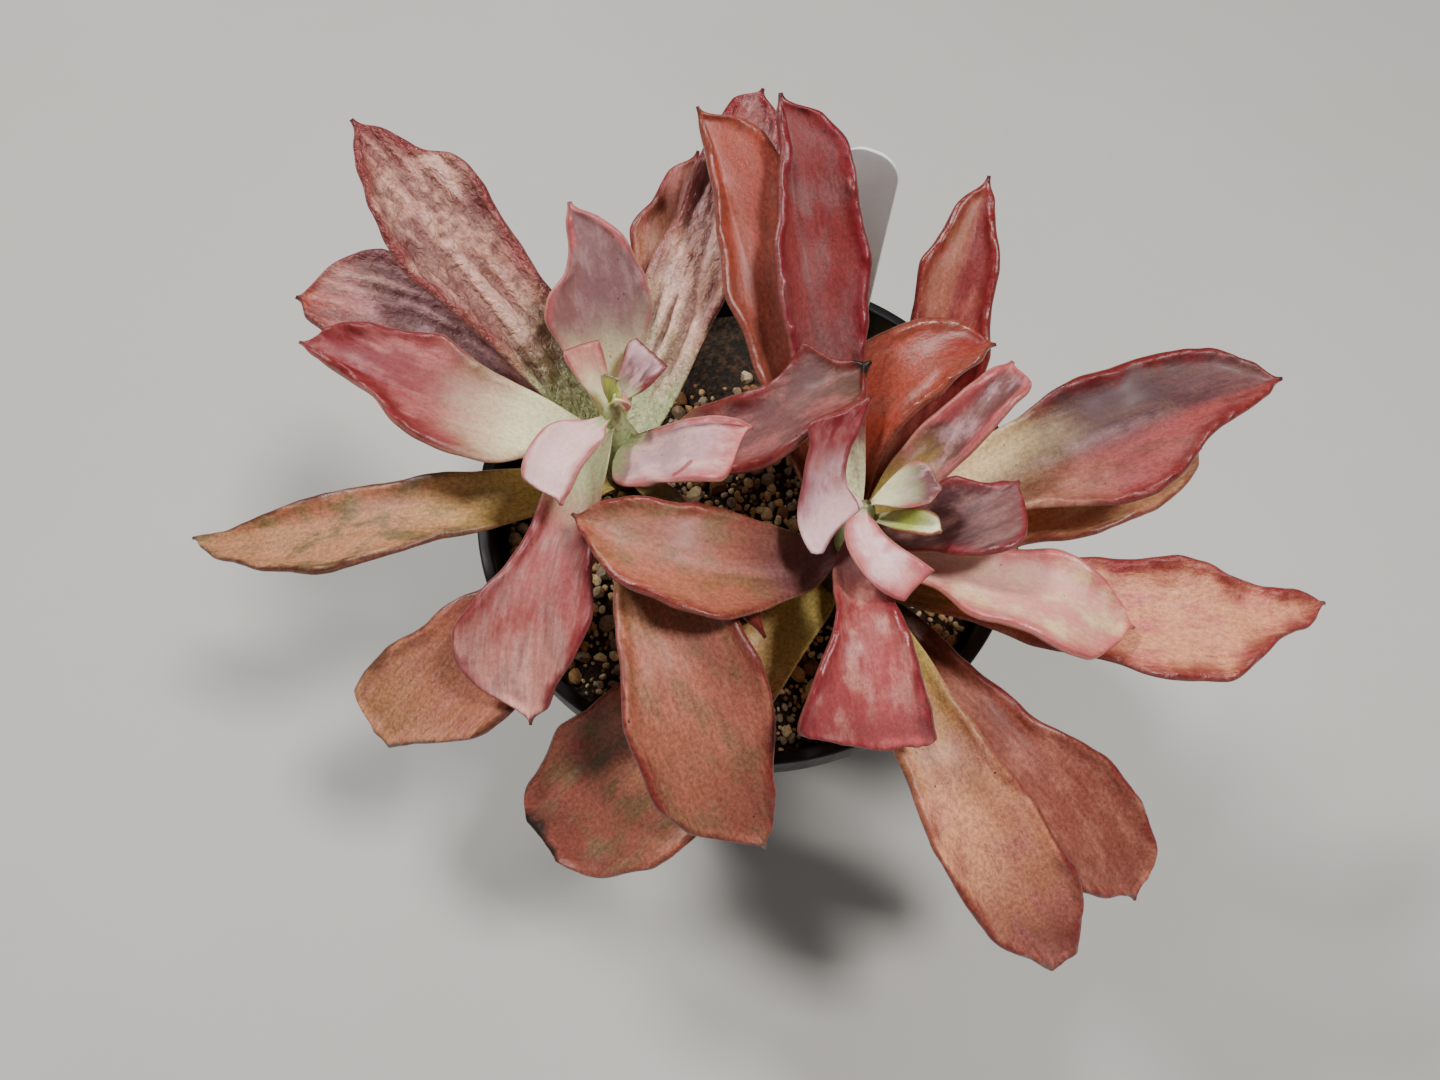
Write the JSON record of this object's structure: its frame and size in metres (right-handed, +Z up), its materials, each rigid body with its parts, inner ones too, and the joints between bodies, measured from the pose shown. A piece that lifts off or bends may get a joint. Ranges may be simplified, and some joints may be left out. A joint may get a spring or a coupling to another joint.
{
  "type": "potted echeveria",
  "caption": "Potted echeveria: two rosettes of thick, waved, rose and bronze leaves on short stems, in a black nursery pot of gritty soil with a blank label.",
  "frame": {"origin": "middle of the pot's flat base", "axes": "+Z up along the pot's axis, +X to the right seen from the front, +Y to the back, where the label stands"},
  "size_m": [0.2841, 0.207, 0.2162],
  "materials": {
    "black_plastic": "black moulded polypropylene, satin",
    "white_plastic": "white plastic strip, satin, blank",
    "gritty_soil": "bark and peat substrate dressed with tan and cream grit, matte",
    "stem": "woody succulent stem with leaf scars, matte",
    "bronze_leaf": "fleshy leaf, waxy, bronze with red margins and a yellow-green foot",
    "rose_leaf": "fleshy leaf, waxy, rose with magenta margins and a cream-green foot",
    "mauve_leaf": "fleshy leaf, waxy, grey mauve with red margins",
    "lilac_leaf": "fleshy leaf, waxy, pale lilac with pink margins",
    "green_leaf": "young fleshy leaf, pale green with a pink edge"
  },
  "bodies": {
    "root": {"pot": "black_plastic", "soil": "gritty_soil", "plant_label": "white_plastic", "left_stem": "stem", "right_stem": "stem", "left_leaf_01": "rose_leaf", "left_leaf_02": "mauve_leaf", "left_leaf_03": "rose_leaf", "left_leaf_04": "bronze_leaf", "left_leaf_05": "mauve_leaf", "left_leaf_06": "rose_leaf", "left_leaf_07": "bronze_leaf", "left_leaf_08": "rose_leaf", "left_leaf_09": "mauve_leaf", "left_leaf_10": "mauve_leaf", "left_leaf_11": "lilac_leaf", "left_leaf_12": "mauve_leaf", "left_leaf_13": "lilac_leaf", "left_leaf_14": "rose_leaf", "left_leaf_15": "mauve_leaf", "left_leaf_16": "green_leaf", "left_leaf_17": "green_leaf", "left_leaf_18": "bronze_leaf", "right_leaf_01": "bronze_leaf", "right_leaf_02": "bronze_leaf", "right_leaf_03": "bronze_leaf", "right_leaf_04": "bronze_leaf", "right_leaf_05": "mauve_leaf", "right_leaf_06": "mauve_leaf", "right_leaf_07": "bronze_leaf", "right_leaf_08": "rose_leaf", "right_leaf_09": "lilac_leaf", "right_leaf_10": "mauve_leaf", "right_leaf_11": "bronze_leaf", "right_leaf_12": "bronze_leaf", "right_leaf_13": "bronze_leaf", "right_leaf_14": "bronze_leaf", "right_leaf_15": "bronze_leaf", "right_leaf_16": "green_leaf", "right_leaf_17": "green_leaf", "right_leaf_18": "rose_leaf", "right_leaf_19": "lilac_leaf"}
  },
  "joints": []
}
